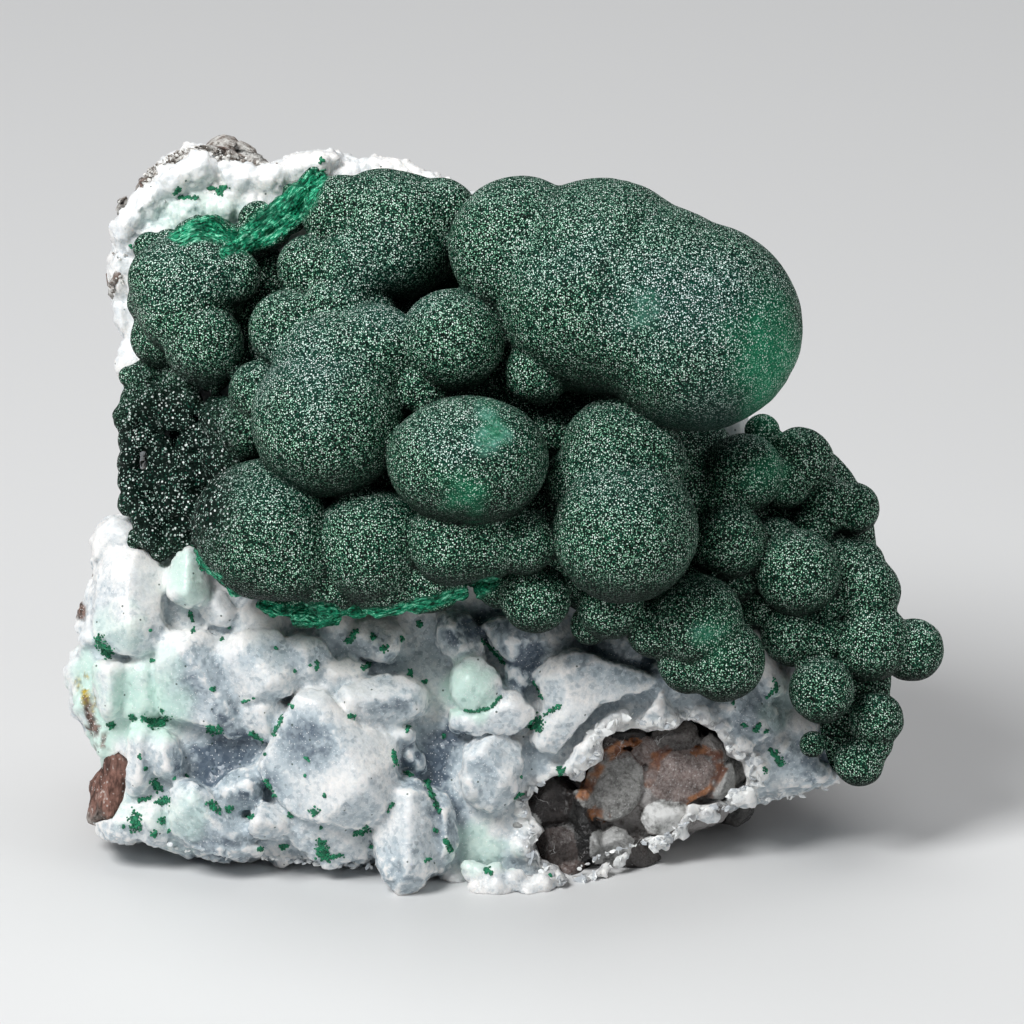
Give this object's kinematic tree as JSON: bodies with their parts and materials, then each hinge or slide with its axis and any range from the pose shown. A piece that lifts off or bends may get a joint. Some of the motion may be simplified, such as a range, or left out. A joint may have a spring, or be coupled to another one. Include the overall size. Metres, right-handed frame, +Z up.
{
  "type": "quartz specimen with malachite",
  "caption": "Mineral specimen: a crust of frosted quartz crystals on its own rock, overgrown with round velvety malachite, standing on its flat lower edge.",
  "frame": {"origin": "bottom centre of the bounding box, on the surface that the specimen rests on", "axes": "+X to the viewer's right along the specimen's length, +Y away from the viewer, +Z up"},
  "size_m": [0.1098, 0.0614, 0.0885],
  "materials": {
    "matrix_rock": "rough broken rock, grey brown with rusty seams",
    "smoky_quartz": "glassy broken faces, near black to brown, with white seams",
    "quartz": "frosted and sparkling, milky white to blue grey with mint patches",
    "malachite": "velvety dark green with fine sparkle"
  },
  "bodies": {
    "root": {"matrix_rock": "matrix_rock", "smoky_quartz": "smoky_quartz", "quartz_crust": "quartz", "malachite": "malachite"}
  },
  "joints": []
}
